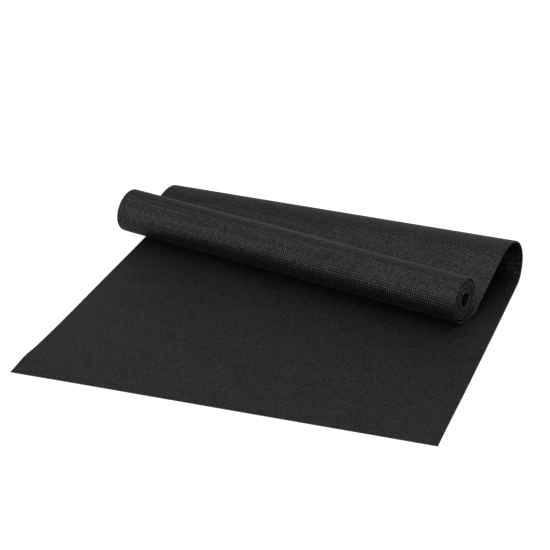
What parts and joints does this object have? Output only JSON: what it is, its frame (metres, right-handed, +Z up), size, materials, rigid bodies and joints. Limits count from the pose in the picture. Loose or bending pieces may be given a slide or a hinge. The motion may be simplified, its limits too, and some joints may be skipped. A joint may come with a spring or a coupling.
{
  "type": "yoga mat",
  "caption": "Thin exercise mat lying flat on the floor, its far end folded back over itself on a skewed bend and wound into a tight roll that rests on the mat.",
  "frame": {"origin": "middle of the footprint, on the surface that the mat lies on", "axes": "+X across the mat towards its right edge, +Y along it from the near edge to the fold, +Z up"},
  "size_m": [0.649, 0.6268, 0.0733],
  "materials": {
    "top_foam": "matt charcoal foamed vinyl, fine raised weave",
    "scrim": "open woven polyester mesh, bonded in",
    "bottom_foam": "matt charcoal foamed vinyl, fine raised weave"
  },
  "bodies": {
    "root": {"top_foam_flat": "top_foam", "scrim_flat": "scrim", "bottom_foam_flat": "bottom_foam", "top_foam_lip": "top_foam", "scrim_lip": "scrim", "bottom_foam_lip": "bottom_foam"},
    "bend_1": {"top_foam_bend_1": "top_foam", "scrim_bend_1": "scrim", "bottom_foam_bend_1": "bottom_foam"},
    "bend_2": {"top_foam_bend_2": "top_foam", "scrim_bend_2": "scrim", "bottom_foam_bend_2": "bottom_foam"},
    "roll": {"top_foam_run": "top_foam", "scrim_run": "scrim", "bottom_foam_run": "bottom_foam", "top_foam_roll": "top_foam", "scrim_roll": "scrim", "bottom_foam_roll": "bottom_foam"}
  },
  "joints": [
    {"name": "fold_1", "type": "hinge", "parent": "root", "child": "bend_1", "pos_m": [0.01943, 0.25793, 0.0067], "axis": [-0.9898, 0.1426, -0.0042], "range_deg": [0, 57]},
    {"name": "fold_2", "type": "hinge", "parent": "bend_1", "child": "bend_2", "pos_m": [0.01772, 0.26995, 0.03464], "axis": [-0.9898, 0.1404, -0.0227], "range_deg": [0, 57]},
    {"name": "fold_3", "type": "hinge", "parent": "bend_2", "child": "roll", "pos_m": [0.01156, 0.24062, 0.05695], "axis": [-0.9813, 0.1852, -0.0525], "range_deg": [0, 57]}
  ],
  "couplings": [
    {"joint": "fold_2", "follows": "fold_1", "ratio": 1},
    {"joint": "fold_3", "follows": "fold_1", "ratio": 1}
  ]
}
